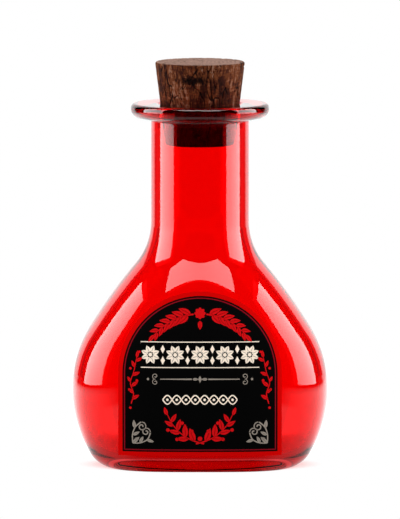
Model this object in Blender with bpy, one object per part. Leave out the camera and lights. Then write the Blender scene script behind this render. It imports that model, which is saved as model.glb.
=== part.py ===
"""Flattened glass flask with a flanged lip, a tapered cork and a front label.

Metres, +Z up. The flask stands on the XY plane, centred on the Z axis, and its
label faces -Y. Run with blender --background --python part.py, or from
Blender's text editor.
"""

import math
from collections import namedtuple

import bmesh
import bpy

MM = 0.001

# Clearance
FIT_GAP = 0.3 * MM  # between two pieces that touch on the real bottle

# Flask
GLASS_WALL = 3.4 * MM
BASE_THICKNESS = 5.0 * MM
NECK_RADIUS = 19.1 * MM
NECK_LENGTH = 39.2 * MM  # straight part, from the shoulder's curve to the lip's
NECK_CURVE_RADIUS = 25.4 * MM  # hollow curve from the shoulder into the neck
BELLY_HALF_WIDTH = 50.0 * MM
BELLY_HALF_DEPTH = 34.0 * MM
BELLY_HEIGHT = 29.9 * MM  # height of the widest section
UPPER_BELLY_RADIUS = 46.0 * MM
LOWER_BELLY_RADIUS = 47.0 * MM
HEEL_RADIUS = 12.0 * MM  # rounding of the outside into the base
INNER_HEEL_RADIUS = 10.0 * MM  # rounding of the inside into the floor
BEARING_WIDTH = 5.0 * MM  # flat ring that the flask stands on
PUSH_UP = 1.5 * MM  # rise of the underside inside that ring, and of the floor above it

# Slope of the flask's side, as the angle between its outward normal and level
BELLY_END_ANGLE = math.radians(31.5)
SHOULDER_END_ANGLE = math.radians(40)

# Squareness of a section: 2 is an ellipse, more is nearer a rectangle
ROUND_SHARE = 2.0
BELLY_SQUARE_SHARE = 2.84
BASE_SQUARE_SHARE = 3.5
SHOULDER_DEPTH_SHARE = 0.62  # extra depth of the shoulder, which is rounder than the belly

# Lip
LIP_OVERHANG = 7.9 * MM
LIP_THICKNESS = 5.6 * MM
LIP_CURVE_RADIUS = 1.2 * MM  # hollow curve under the lip
LIP_EDGE_RADIUS = 1.5 * MM  # rounding of the lip's upper edge
LIP_TURN_ANGLE = math.radians(20)  # slope where that passes into the wider rounding below
MOUTH_ROUNDING = 1.5 * MM

# Cork
CORK_LENGTH = 32.4 * MM
CORK_PROUD = 17.8 * MM  # length above the level where the cork binds in the bore
CORK_TAPER_SHARE = 0.118  # gain of radius for each unit of height
CORK_EDGE_RADIUS = 0.8 * MM

# Label
LABEL_HALF_WIDTH = 31.6 * MM
LABEL_HEIGHT = 63.55 * MM
LABEL_BOTTOM = 7.0 * MM
LABEL_THICKNESS = 0.3 * MM

# Fineness of the meshes, as counts, and the angle from which an edge shows
SIDES = 48
BELLY_STEPS = 6
SHOULDER_STEPS = 4
CURVE_STEPS = 6
ROUNDING_STEPS = 3
LIP_STEPS = 6
LABEL_COLUMNS = 20
LABEL_ROWS = 9
PUSH_UP_SHARES = (0.75, 0.5, 0.25)
SHARP_ANGLE = math.radians(40)

# An arc of a side view. Its radius is negative where the wall curves inwards,
# so centre + radius * (cos, sin) is the wall's point whose outward normal rises
# at that angle, on both kinds of arc.
Arc = namedtuple("Arc", "centre_out centre_up radius start end")

# A level ring of the flask or the cork
Section = namedtuple("Section", "half_width half_depth square height")


# Outline of the flask


def arc_point(arc, angle, inset=0.0):
    """Point on an arc, moved inwards through the wall by the inset."""
    radius = arc.radius - inset
    out = arc.centre_out + radius * math.cos(angle)
    up = arc.centre_up + radius * math.sin(angle)
    return out, up


def arc_points(arc, steps, inset=0.0):
    """Points along an arc from its start to its end."""
    angles = [arc.start + (arc.end - arc.start) * step / steps for step in range(steps + 1)]
    return [arc_point(arc, angle, inset) for angle in angles]


def heel_arc(floor, inset, radius):
    """Arc that rounds the lower belly, inset by the wall, into a level floor."""
    reach = LOWER_BELLY_RADIUS - inset - radius
    drop = BELLY_HEIGHT - floor - radius
    angle = -math.asin(drop / reach)
    centre_out = BELLY_HALF_WIDTH - LOWER_BELLY_RADIUS + reach * math.cos(angle)
    return Arc(centre_out, floor + radius, radius, -math.pi / 2, angle)


def lower_belly_arc(start):
    """Arc from the heel up to the widest section."""
    centre_out = BELLY_HALF_WIDTH - LOWER_BELLY_RADIUS
    return Arc(centre_out, BELLY_HEIGHT, LOWER_BELLY_RADIUS, start, 0.0)


def upper_arcs():
    """Arcs of the upper belly, the shoulder and the hollow curve into the neck."""
    belly = Arc(
        BELLY_HALF_WIDTH - UPPER_BELLY_RADIUS,
        BELLY_HEIGHT,
        UPPER_BELLY_RADIUS,
        0.0,
        BELLY_END_ANGLE,
    )
    belly_out, belly_up = arc_point(belly, belly.end)
    curve_foot_out = NECK_RADIUS + NECK_CURVE_RADIUS * (1 - math.cos(SHOULDER_END_ANGLE))
    narrowing = math.cos(BELLY_END_ANGLE) - math.cos(SHOULDER_END_ANGLE)
    shoulder_radius = (belly_out - curve_foot_out) / narrowing
    shoulder = Arc(
        belly_out - shoulder_radius * math.cos(BELLY_END_ANGLE),
        belly_up - shoulder_radius * math.sin(BELLY_END_ANGLE),
        shoulder_radius,
        BELLY_END_ANGLE,
        SHOULDER_END_ANGLE,
    )
    shoulder_up = arc_point(shoulder, shoulder.end)[1]
    curve = Arc(
        NECK_RADIUS + NECK_CURVE_RADIUS,
        shoulder_up + NECK_CURVE_RADIUS * math.sin(SHOULDER_END_ANGLE),
        -NECK_CURVE_RADIUS,
        SHOULDER_END_ANGLE,
        0.0,
    )
    return [belly, shoulder, curve]


HEEL = heel_arc(0.0, 0.0, HEEL_RADIUS)
UPPER_BELLY, SHOULDER, NECK_CURVE = upper_arcs()
SIDE = [HEEL, lower_belly_arc(HEEL.end), UPPER_BELLY, SHOULDER, NECK_CURVE]
INNER_HEEL = heel_arc(BASE_THICKNESS, GLASS_WALL, INNER_HEEL_RADIUS)

BORE_RADIUS = NECK_RADIUS - GLASS_WALL
LIP_RADIUS = NECK_RADIUS + LIP_OVERHANG
LIP_UNDERSIDE = NECK_CURVE.centre_up + NECK_LENGTH + LIP_CURVE_RADIUS
LIP_TOP = LIP_UNDERSIDE + LIP_THICKNESS
SEAT_HEIGHT = LIP_TOP - MOUTH_ROUNDING  # where the mouth's rounding meets the bore
DEPTH_SHARE = (BELLY_HALF_DEPTH - NECK_RADIUS) / (BELLY_HALF_WIDTH - NECK_RADIUS)


def flask_section(point, inset=0.0):
    """Section of the flask at a point of its side view."""
    out, up = point
    neck = NECK_RADIUS - inset
    flare = out - neck
    extra_depth = flare * DEPTH_SHARE
    if up < BELLY_HEIGHT:
        low_share = 1 - up / BELLY_HEIGHT
        square = BELLY_SQUARE_SHARE + (BASE_SQUARE_SHARE - BELLY_SQUARE_SHARE) * low_share**2
    else:
        narrow_share = 1 - flare / (BELLY_HALF_WIDTH - NECK_RADIUS)
        extra_depth *= 1 + SHOULDER_DEPTH_SHARE * narrow_share
        square = BELLY_SQUARE_SHARE - (BELLY_SQUARE_SHARE - ROUND_SHARE) * narrow_share**2
    return Section(out, neck + extra_depth, square, up)


def round_section(point):
    """Circular section at a point of a side view."""
    return Section(point[0], point[0], ROUND_SHARE, point[1])


def section_at(height):
    """Outer section of the flask at a height between the table and the lip."""
    for arc in SIDE:
        if height <= arc_point(arc, arc.end)[1]:
            angle = math.asin((height - arc.centre_up) / arc.radius)
            return flask_section(arc_point(arc, angle))
    return round_section((NECK_RADIUS, height))


def pushed_up_sections(edge):
    """Rings that rise from an edge towards the middle of the base, outside to inside."""
    sections = []
    for share in PUSH_UP_SHARES:
        height = edge.height + PUSH_UP * (1 - share**2)
        sections.append(Section(edge.half_width * share, edge.half_depth * share, edge.square, height))
    return sections


def underside_sections():
    """Rings of the pushed-up underside and the flat bearing ring, inside to outside."""
    outer = flask_section(arc_point(HEEL, HEEL.start))
    half_width = outer.half_width - BEARING_WIDTH
    half_depth = outer.half_depth - BEARING_WIDTH
    edge = Section(half_width, half_depth, outer.square, outer.height)
    return pushed_up_sections(edge)[::-1] + [edge]


def outer_sections():
    """Rings up the outside, from the edge of the bearing ring to the foot of the neck."""
    points = arc_points(HEEL, CURVE_STEPS)
    steps = [BELLY_STEPS, BELLY_STEPS, SHOULDER_STEPS, CURVE_STEPS]
    for arc, count in zip(SIDE[1:], steps):
        points += arc_points(arc, count)[1:]
    return [flask_section(point) for point in points]


def lip_sections():
    """Rings over the lip, from the hollow curve under it to the bore."""
    rise = math.sin(LIP_TURN_ANGLE)
    wide = (LIP_THICKNESS - LIP_EDGE_RADIUS * (1 - rise)) / (1 + rise)
    rim = LIP_RADIUS - wide
    under = Arc(
        NECK_RADIUS + LIP_CURVE_RADIUS,
        LIP_UNDERSIDE - LIP_CURVE_RADIUS,
        -LIP_CURVE_RADIUS,
        0.0,
        -math.pi / 2,
    )
    lower_edge = Arc(rim, LIP_UNDERSIDE + wide, wide, -math.pi / 2, LIP_TURN_ANGLE)
    upper_edge = Arc(
        rim + (wide - LIP_EDGE_RADIUS) * math.cos(LIP_TURN_ANGLE),
        LIP_TOP - LIP_EDGE_RADIUS,
        LIP_EDGE_RADIUS,
        LIP_TURN_ANGLE,
        math.pi / 2,
    )
    mouth = Arc(
        BORE_RADIUS + MOUTH_ROUNDING,
        SEAT_HEIGHT,
        MOUTH_ROUNDING,
        math.pi / 2,
        math.pi,
    )
    points = arc_points(under, ROUNDING_STEPS)
    points += arc_points(lower_edge, LIP_STEPS)
    points += arc_points(upper_edge, ROUNDING_STEPS)[1:]
    points += arc_points(mouth, ROUNDING_STEPS)
    return [round_section(point) for point in points]


def inner_sections():
    """Rings down the inside, from the foot of the neck to the middle of the raised floor."""
    steps = [CURVE_STEPS, SHOULDER_STEPS, BELLY_STEPS]
    points = [arc_point(NECK_CURVE, NECK_CURVE.end, GLASS_WALL)]
    for arc, count in zip([NECK_CURVE, SHOULDER, UPPER_BELLY], steps):
        points += arc_points(arc, count, GLASS_WALL)[::-1][1:]
    lower = lower_belly_arc(INNER_HEEL.end)
    points += arc_points(lower, BELLY_STEPS, GLASS_WALL)[::-1][1:]
    points += arc_points(INNER_HEEL, ROUNDING_STEPS)[::-1][1:]
    sections = [flask_section(point, GLASS_WALL) for point in points]
    return sections + pushed_up_sections(sections[-1])


# Building meshes


def section_ring(bm, section):
    """Ring of vertices around a section, at even angles from +X."""
    power = section.square
    ring = []
    for side in range(SIDES):
        angle = math.tau * side / SIDES
        across = math.cos(angle)
        along = math.sin(angle)
        reach = abs(across / section.half_width) ** power + abs(along / section.half_depth) ** power
        radius = reach ** (-1 / power)
        ring.append(bm.verts.new((radius * across, radius * along, section.height)))
    return ring


def loft(bm, sections):
    """Closed body through level rings, its two end rings filled."""
    rings = [section_ring(bm, section) for section in sections]
    for lower, upper in zip(rings, rings[1:]):
        for side in range(SIDES):
            after = (side + 1) % SIDES
            bm.faces.new((lower[side], lower[after], upper[after], upper[side]))
    bm.faces.new(rings[0][::-1])
    bm.faces.new(rings[-1])


def finish(name, bm, material, location=(0.0, 0.0, 0.0)):
    """Turn a finished bmesh into a named, smooth-shaded object."""
    mesh = bpy.data.meshes.new(name)
    bm.to_mesh(mesh)
    bm.free()
    mesh.materials.append(material)
    mesh.shade_smooth()
    mesh.set_sharp_from_angle(angle=SHARP_ANGLE)
    obj = bpy.data.objects.new(name, mesh)
    obj.location = location
    bpy.context.collection.objects.link(obj)
    return obj


def surface(name, colour, roughness, transmission=0.0):
    """Principled material with the part's colour."""
    material = bpy.data.materials.new(name)
    material.use_nodes = True
    shader = material.node_tree.nodes["Principled BSDF"]
    shader.inputs["Base Color"].default_value = (*colour, 1.0)
    shader.inputs["Roughness"].default_value = roughness
    shader.inputs["Metallic"].default_value = 0.0
    shader.inputs["Transmission Weight"].default_value = transmission
    return material


# Glass flask


def glass_bottle():
    """Hollow flask with its neck and lip, one blown piece."""
    bm = bmesh.new()
    loft(bm, underside_sections() + outer_sections() + lip_sections() + inner_sections())
    return finish("glass_bottle", bm, surface("red_glass", (0.62, 0.0, 0.004), 0.03, 1.0))


# Cork


def cork_stopper():
    """Tapered cork, its origin on the bottle's axis at the level where it binds."""
    binding_radius = BORE_RADIUS - FIT_GAP
    top = CORK_PROUD
    bottom = CORK_PROUD - CORK_LENGTH
    top_radius = binding_radius + CORK_TAPER_SHARE * top
    bottom_radius = binding_radius + CORK_TAPER_SHARE * bottom
    quarter = math.pi / 2
    edge = CORK_EDGE_RADIUS
    foot = Arc(bottom_radius - edge, bottom + edge, edge, -quarter, 0.0)
    crown = Arc(top_radius - edge, top - edge, edge, 0.0, quarter)
    points = arc_points(foot, ROUNDING_STEPS) + arc_points(crown, ROUNDING_STEPS)
    bm = bmesh.new()
    loft(bm, [round_section(point) for point in points])
    cork = surface("dark_cork", (0.085, 0.043, 0.028), 0.85)
    return finish("cork_stopper", bm, cork, (0.0, 0.0, SEAT_HEIGHT))


# Label


def front_depth(x, height):
    """Distance of the flask's front wall from the middle plane."""
    section = section_at(height)
    across_share = abs(x / section.half_width) ** section.square
    return section.half_depth * (1 - across_share) ** (1 / section.square)


def over_front(x, height, lift):
    """Point at a lift above the flask's front wall, square to it."""
    step = LABEL_THICKNESS  # short next to the wall's curves
    slope_x = (front_depth(x + step, height) - front_depth(x - step, height)) / (2 * step)
    slope_z = (front_depth(x, height + step) - front_depth(x, height - step)) / (2 * step)
    reach = lift / math.sqrt(1 + slope_x**2 + slope_z**2)
    return x - slope_x * reach, -front_depth(x, height) - reach, height - slope_z * reach


def label_rows():
    """Half-width and height of each level row of the arched label, bottom to top."""
    straight = LABEL_HEIGHT - LABEL_HALF_WIDTH
    spring = LABEL_BOTTOM + straight
    rows = []
    for row in range(LABEL_ROWS):
        rows.append((LABEL_HALF_WIDTH, LABEL_BOTTOM + straight * row / LABEL_ROWS))
    for row in range(LABEL_ROWS):
        angle = math.pi / 2 * row / LABEL_ROWS
        half_width = LABEL_HALF_WIDTH * math.cos(angle)
        rows.append((half_width, spring + LABEL_HALF_WIDTH * math.sin(angle)))
    return rows


def label_face(bm, lift):
    """Rows of vertices of one face of the label, and the tip of its arch."""
    rows = []
    for half_width, height in label_rows():
        row = []
        for column in range(LABEL_COLUMNS + 1):
            x = half_width * (2 * column / LABEL_COLUMNS - 1)
            row.append(bm.verts.new(over_front(x, height, lift)))
        rows.append(row)
    tip = bm.verts.new(over_front(0.0, LABEL_BOTTOM + LABEL_HEIGHT, lift))
    return rows, tip


def front_label():
    """Thin arched label that follows the flask's front wall."""
    bm = bmesh.new()
    back, back_tip = label_face(bm, FIT_GAP)
    front, front_tip = label_face(bm, FIT_GAP + LABEL_THICKNESS)
    for column in range(LABEL_COLUMNS):
        after = column + 1
        for row in range(len(front) - 1):
            low, high = front[row], front[row + 1]
            bm.faces.new((low[column], low[after], high[after], high[column]))
            low, high = back[row], back[row + 1]
            bm.faces.new((low[after], low[column], high[column], high[after]))
        bm.faces.new((front[-1][column], front[-1][after], front_tip))
        bm.faces.new((back[-1][after], back[-1][column], back_tip))
        bm.faces.new((front[0][after], front[0][column], back[0][column], back[0][after]))
    left_front = [row[0] for row in front] + [front_tip]
    left_back = [row[0] for row in back] + [back_tip]
    right_front = [row[-1] for row in front] + [front_tip]
    right_back = [row[-1] for row in back] + [back_tip]
    for low in range(len(front)):
        high = low + 1
        bm.faces.new((left_front[low], left_front[high], left_back[high], left_back[low]))
        bm.faces.new((right_front[high], right_front[low], right_back[low], right_back[high]))
    return finish("front_label", bm, surface("black_paper", (0.004, 0.004, 0.005), 0.55))


def main():
    for obj in list(bpy.data.objects):
        bpy.data.objects.remove(obj, do_unlink=True)
    glass_bottle()
    cork_stopper()
    front_label()


main()
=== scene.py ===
"""Looks of a corked red glass flask with an arched label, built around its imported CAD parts.

The frame's bodies are bottle (glass and label) and stopper (cork). Metres, +Z up,
the flask stands on the XY plane and its label faces -Y.
"""

import math
from collections import namedtuple

import bpy
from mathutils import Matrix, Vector, noise


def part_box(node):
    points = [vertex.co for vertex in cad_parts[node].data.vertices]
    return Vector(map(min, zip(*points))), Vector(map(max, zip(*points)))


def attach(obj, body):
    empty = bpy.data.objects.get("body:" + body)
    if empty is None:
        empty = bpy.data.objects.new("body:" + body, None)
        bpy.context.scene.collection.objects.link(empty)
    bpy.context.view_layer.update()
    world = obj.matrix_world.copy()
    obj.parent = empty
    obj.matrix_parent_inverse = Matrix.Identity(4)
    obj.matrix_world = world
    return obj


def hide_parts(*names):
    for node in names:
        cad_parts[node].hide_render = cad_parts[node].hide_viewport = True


bl_info = {
    "name": "Corked Flask Looks",
    "version": (1, 0, 0),
    "blender": (4, 5, 0),
    "location": "3D View > Sidebar > Flask",
    "description": "Models and dresses a corked glass flask around its CAD frame",
    "category": "Object",
}

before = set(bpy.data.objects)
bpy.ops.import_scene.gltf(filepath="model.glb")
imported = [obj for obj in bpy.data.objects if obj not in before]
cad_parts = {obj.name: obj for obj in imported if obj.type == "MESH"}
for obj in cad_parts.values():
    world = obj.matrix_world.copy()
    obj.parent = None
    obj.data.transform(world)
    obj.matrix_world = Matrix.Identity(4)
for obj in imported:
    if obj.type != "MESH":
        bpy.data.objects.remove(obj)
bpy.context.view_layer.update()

MM = 0.001
TOUCHING = 0.001 * MM  # points nearer than this are one point
GLASS_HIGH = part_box("glass_bottle")[1]
CORK_LOW, CORK_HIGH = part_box("cork_stopper")

# Squareness of a level section: 2 is an ellipse, more is nearer a rectangle
ROUND_SHARE = 2.0
BELLY_SQUARE_SHARE = 2.84
BASE_SQUARE_SHARE = 3.5
SHOULDER_DEPTH_SHARE = 0.62  # extra depth of the shoulder, which is rounder than the belly

# An arc of a side view. Its radius is negative where the wall curves inwards, so
# centre + radius * (cos, sin) is the point whose outward normal rises at that angle.
Arc = namedtuple("Arc", "centre_out centre_up radius start end")


# Sizes and colours that a user may change


def length(name, description, default):
    """Property for a size in metres."""
    return bpy.props.FloatProperty(
        name=name, description=description, default=default, min=0.0, unit="LENGTH", precision=5
    )


def turn(name, description, degrees):
    """Property for an angle."""
    return bpy.props.FloatProperty(
        name=name, description=description, default=math.radians(degrees), unit="ROTATION"
    )


def share(name, description, default):
    """Property for a plain number."""
    return bpy.props.FloatProperty(name=name, description=description, default=default, precision=4)


def colour(name, description, default):
    """Property for a linear colour."""
    return bpy.props.FloatVectorProperty(
        name=name, description=description, default=default, size=3, min=0.0, max=1.0, subtype="COLOR"
    )


class FlaskSizes(bpy.types.PropertyGroup):
    """Sizes and colour of the glass."""

    half_width: length("Half width", "Half the belly's width", GLASS_HIGH.x)
    half_depth: length("Half depth", "Half the belly's depth", GLASS_HIGH.y)
    wall: length("Wall", "Thickness of the glass", 3.4 * MM)
    floor_thickness: length("Floor", "Thickness of the base", 5.0 * MM)
    neck_radius: length("Neck radius", "Outer radius of the neck", 19.1 * MM)
    neck_length: length("Neck length", "Straight part of the neck", 39.2 * MM)
    neck_curve: length("Neck curve", "Hollow curve from shoulder to neck", 25.4 * MM)
    belly_height: length("Belly height", "Height of the widest section", 29.9 * MM)
    upper_belly: length("Upper belly radius", "Side view radius above the widest section", 46.0 * MM)
    lower_belly: length("Lower belly radius", "Side view radius below it", 47.0 * MM)
    heel: length("Heel radius", "Rounding of the outside into the base", 12.0 * MM)
    inner_heel: length("Inner heel radius", "Rounding of the inside into the floor", 10.0 * MM)
    bearing: length("Bearing ring", "Width of the ring it stands on", 5.0 * MM)
    push_up: length("Push-up", "Rise of the underside and of the floor above it", 1.5 * MM)
    belly_end: turn("Belly end", "Slope where the belly passes into the shoulder", 31.5)
    shoulder_end: turn("Shoulder end", "Slope where the shoulder passes into the curve", 40.0)
    lip_overhang: length("Lip overhang", "Reach of the lip past the neck", 7.9 * MM)
    lip_thickness: length("Lip thickness", "Height of the lip's round edge", 5.6 * MM)
    lip_edge: length("Lip edge radius", "Rounding of the lip's upper edge", 1.5 * MM)
    lip_turn: turn("Lip turn", "Slope where it passes into the wider rounding below", 20.0)
    lip_curve: length("Lip curve", "Hollow curve under the lip", 1.2 * MM)
    mouth_rounding: length("Mouth rounding", "Rounding into the bore", 1.5 * MM)
    tint: colour("Tint", "Colour that one wall lets through", (0.97, 0.012, 0.014))
    sides: bpy.props.IntProperty(name="Sides", description="Faces around", default=176, min=24)


class CorkSizes(bpy.types.PropertyGroup):
    """Sizes and colours of the cork."""

    edge: length("Foot radius", "Rounding of the foot's rim", 0.8 * MM)
    crown: length("Crown radius", "Rounding of the top's rim", 0.9 * MM)
    skin: length("Skin", "Room that the rough skin takes inside the cork's box", 0.06 * MM)
    taper: share("Taper", "Gain of radius for each unit of height", 0.118)
    sides: bpy.props.IntProperty(name="Sides", description="Faces around", default=480, min=24)
    crack: length("Crack depth", "Depth of the cracks down the grain", 0.4 * MM)
    dark: colour("Dark", "Colour of cracks and knots", (0.003, 0.0004, 0.0002))
    brown: colour("Brown", "Colour of the common grain", (0.034, 0.0068, 0.0028))
    amber: colour("Amber", "Colour of the warm streaks", (0.125, 0.034, 0.010))
    pale: colour("Pale", "Colour of the palest streaks", (0.25, 0.135, 0.09))
    top: colour("Top", "Colour of the end grain", (0.36, 0.21, 0.16))


class LabelSizes(bpy.types.PropertyGroup):
    """Sizes and colours of the label."""

    half_width: length("Half width", "Half the label's width", 31.6 * MM)
    height: length("Height", "Height of the label to the top of its arch", 63.55 * MM)
    bottom: length("Bottom", "Height of the label's lower edge", 7.0 * MM)
    gap: length("Gap", "Room between the glass and the paper", 0.05 * MM)
    thickness: length("Thickness", "Thickness of the paper", 0.16 * MM)
    ink: length("Ink", "Thickness of the printed ornament", 0.015 * MM)
    margin: length("Margin", "Red edge outside the black field", 1.65 * MM)
    line_inset: length("Line inset", "Distance of the fine line from the field's edge", 0.8 * MM)
    line_width: length("Line width", "Width of the fine line", 0.38 * MM)
    paper: colour("Paper", "Colour of the red edge", (0.56, 0.0005, 0.0003))
    line: colour("Line", "Colour of the fine line", (0.235, 0.0035, 0.01))
    field: colour("Field", "Colour of the black field", (0.0014, 0.0014, 0.0014))
    red: colour("Red ink", "Colour of the red ornament", (0.62, 0.004, 0.006))
    cream: colour("Cream ink", "Colour of the cream ornament", (0.95, 0.82, 0.68))
    beige: colour("Beige ink", "Colour of the beige ornament", (0.30, 0.26, 0.22))


class StudioSizes(bpy.types.PropertyGroup):
    """Camera, floor and lights."""

    distance: length("Camera distance", "From the lens to the flask's axis", 4.0)
    elevation: turn("Camera elevation", "Angle above the horizon", 5.85)
    aim: length("Aim height", "Height at the picture's centre", 80.3 * MM)
    view_height: length("View height", "Height that the picture takes in", 202.3 * MM)
    fill: share("Fill", "Strength of the even light on matt surfaces", 0.06)
    gap_light: share("Gap light", "What the glass lets through from beside the backdrop", 0.75)
    backdrop: share("Backdrop", "Radiance of the backdrop in the glass", 1.25)
    matt_share: share("Matt share", "Share of the side softboxes' light that matt surfaces get", 0.8)
    window_share: share("Matt share, front", "Share of the raised softbox's light that they get", 0.4)
    side_bright: share("Side light", "Radiance of the side softboxes' rear edge", 8.2)
    side_dim: share("Side light, front", "Radiance of their front edge", 4.3)
    window: share("Front light", "Radiance of the raised front softbox", 4.7)


# Outline of the flask, from its sizes


def arc_point(arc, angle, inset=0.0):
    """Point on an arc, moved inwards through the wall by the inset."""
    radius = arc.radius - inset
    return arc.centre_out + radius * math.cos(angle), arc.centre_up + radius * math.sin(angle)


def arc_points(arc, steps, inset=0.0):
    """Points along an arc from its start to its end."""
    angles = [arc.start + (arc.end - arc.start) * step / steps for step in range(steps + 1)]
    return [arc_point(arc, angle, inset) for angle in angles]


def heel_arc(sizes, floor, inset, radius):
    """Arc that rounds the lower belly, inset by the wall, into a level floor."""
    reach = sizes.lower_belly - inset - radius
    drop = sizes.belly_height - floor - radius
    angle = -math.asin(drop / reach)
    centre_out = sizes.half_width - sizes.lower_belly + reach * math.cos(angle)
    return Arc(centre_out, floor + radius, radius, -math.pi / 2, angle)


def side_arcs(sizes):
    """Arcs of the side view from the base up to the neck."""

    def belly_arc(radius, start, end):
        return Arc(sizes.half_width - radius, sizes.belly_height, radius, start, end)

    heel = heel_arc(sizes, 0.0, 0.0, sizes.heel)
    lower = belly_arc(sizes.lower_belly, heel.end, 0.0)
    upper = belly_arc(sizes.upper_belly, 0.0, sizes.belly_end)
    belly_out, belly_up = arc_point(upper, upper.end)
    foot_out = sizes.neck_radius + sizes.neck_curve * (1 - math.cos(sizes.shoulder_end))
    narrowing = math.cos(sizes.belly_end) - math.cos(sizes.shoulder_end)
    radius = (belly_out - foot_out) / narrowing
    centre_out = belly_out - radius * math.cos(sizes.belly_end)
    centre_up = belly_up - radius * math.sin(sizes.belly_end)
    shoulder = Arc(centre_out, centre_up, radius, sizes.belly_end, sizes.shoulder_end)
    centre_out = sizes.neck_radius + sizes.neck_curve
    centre_up = arc_point(shoulder, shoulder.end)[1] + sizes.neck_curve * math.sin(sizes.shoulder_end)
    curve = Arc(centre_out, centre_up, -sizes.neck_curve, sizes.shoulder_end, 0.0)
    return [heel, lower, upper, shoulder, curve]


def section(sizes, out, up, inset=0.0):
    """Half-width, half-depth and squareness of the level section through a side view point."""
    neck = sizes.neck_radius - inset
    flare = max(out - neck, 0.0)
    full_flare = sizes.half_width - sizes.neck_radius
    extra_depth = flare * (sizes.half_depth - sizes.neck_radius) / full_flare
    if up < sizes.belly_height:
        low_share = 1 - up / sizes.belly_height
        square = BELLY_SQUARE_SHARE + (BASE_SQUARE_SHARE - BELLY_SQUARE_SHARE) * low_share**2
    else:
        narrow_share = 1 - flare / full_flare
        extra_depth *= 1 + SHOULDER_DEPTH_SHARE * narrow_share
        square = BELLY_SQUARE_SHARE - (BELLY_SQUARE_SHARE - ROUND_SHARE) * narrow_share**2
    return out, neck + extra_depth, square


def section_at(sizes, up):
    """Outer section of the flask at a height below the neck."""
    for arc in side_arcs(sizes):
        if up <= arc_point(arc, arc.end)[1]:
            angle = math.asin((up - arc.centre_up) / arc.radius)
            return section(sizes, arc_point(arc, angle)[0], up)
    return sizes.neck_radius, sizes.neck_radius, ROUND_SHARE


def front_depth(sizes, x, up):
    """Distance of the flask's front wall from the middle plane."""
    half_width, half_depth, square = section_at(sizes, up)
    return half_depth * (1 - abs(x / half_width) ** square) ** (1 / square)


def over_front(sizes, x, up, lift):
    """Point at a lift above the flask's front wall, square to it."""
    step = 0.3 * MM
    slope_x = (front_depth(sizes, x + step, up) - front_depth(sizes, x - step, up)) / (2 * step)
    slope_z = (front_depth(sizes, x, up + step) - front_depth(sizes, x, up - step)) / (2 * step)
    reach = lift / math.sqrt(1 + slope_x**2 + slope_z**2)
    return Vector((x - slope_x * reach, -front_depth(sizes, x, up) - reach, up - slope_z * reach))


# Modelling steps that several pieces share


def object_mode():
    """Leave edit mode with nothing selected."""
    if bpy.context.object and bpy.context.object.mode != "OBJECT":
        bpy.ops.object.mode_set(mode="OBJECT")
    bpy.ops.object.select_all(action="DESELECT")


def pick(*objects):
    """Select these objects alone, the first one active."""
    object_mode()
    for obj in objects:
        obj.select_set(True)
    bpy.context.view_layer.objects.active = objects[0]


def drawn_line(name, points):
    """Chain of edges through side view points, extruded from the first one."""
    places = [Vector((out, 0.0, up)) for out, up in points]
    object_mode()
    bpy.ops.mesh.primitive_plane_add(size=MM, location=places[0])
    line = bpy.context.object
    line.name = name
    bpy.ops.object.transform_apply(location=True)
    bpy.ops.object.mode_set(mode="EDIT")
    bpy.ops.mesh.select_all(action="SELECT")
    bpy.ops.mesh.merge(type="CENTER")
    for before, after in zip(places, places[1:]):
        bpy.ops.mesh.extrude_vertices_move(TRANSFORM_OT_translate={"value": after - before})
    return line


def spin_round(sides):
    """Spin the line that was just drawn round the Z axis into a skin."""
    bpy.ops.mesh.select_all(action="SELECT")
    bpy.ops.mesh.spin(steps=sides, angle=math.tau, center=(0, 0, 0), axis=(0, 0, 1))
    bpy.ops.mesh.select_all(action="SELECT")
    bpy.ops.mesh.remove_doubles(threshold=TOUCHING)
    bpy.ops.object.mode_set(mode="OBJECT")


def press_sections(skin, half_depth_and_square):
    """Press a round skin's level rings to their flattened sections."""
    for vertex in skin.data.vertices:
        x, y, up = vertex.co
        out = math.hypot(x, y)
        if out < TOUCHING:
            continue
        half_depth, square = half_depth_and_square(out, up)
        across, along = x / out, y / out
        reach = abs(across / out) ** square + abs(along / half_depth) ** square
        radius = reach ** (-1 / square)
        vertex.co = (radius * across, radius * along, up)


def close_skin(obj, gap=TOUCHING):
    """Merge what meets, point all faces outwards and shade them smooth."""
    pick(obj)
    bpy.ops.object.mode_set(mode="EDIT")
    bpy.ops.mesh.select_all(action="SELECT")
    bpy.ops.mesh.remove_doubles(threshold=gap)
    bpy.ops.mesh.normals_make_consistent(inside=False)
    bpy.ops.object.mode_set(mode="OBJECT")
    bpy.ops.object.shade_smooth()


# Glass


# Steps of the side views: the domes under and over the base, the arcs from the heel up
# to the neck's foot, the straight neck, and the lip's hollow, lower and upper edge and mouth
PUSH_UP_STEPS, FLOOR_STEPS = 10, 16
OUTER_STEPS, INNER_STEPS = (16, 34, 36, 24, 24), (14, 30, 36, 24, 24)
NECK_STEPS = 8
LIP_STEPS = (8, 22, 14, 8)


def dome(edge, floor, rise, steps):
    """Points of a shallow dome, from its middle up to just before its edge."""
    parts = [step / steps for step in range(steps)]
    return [(edge * part, floor + rise * (1 - part**2)) for part in parts]


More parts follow.
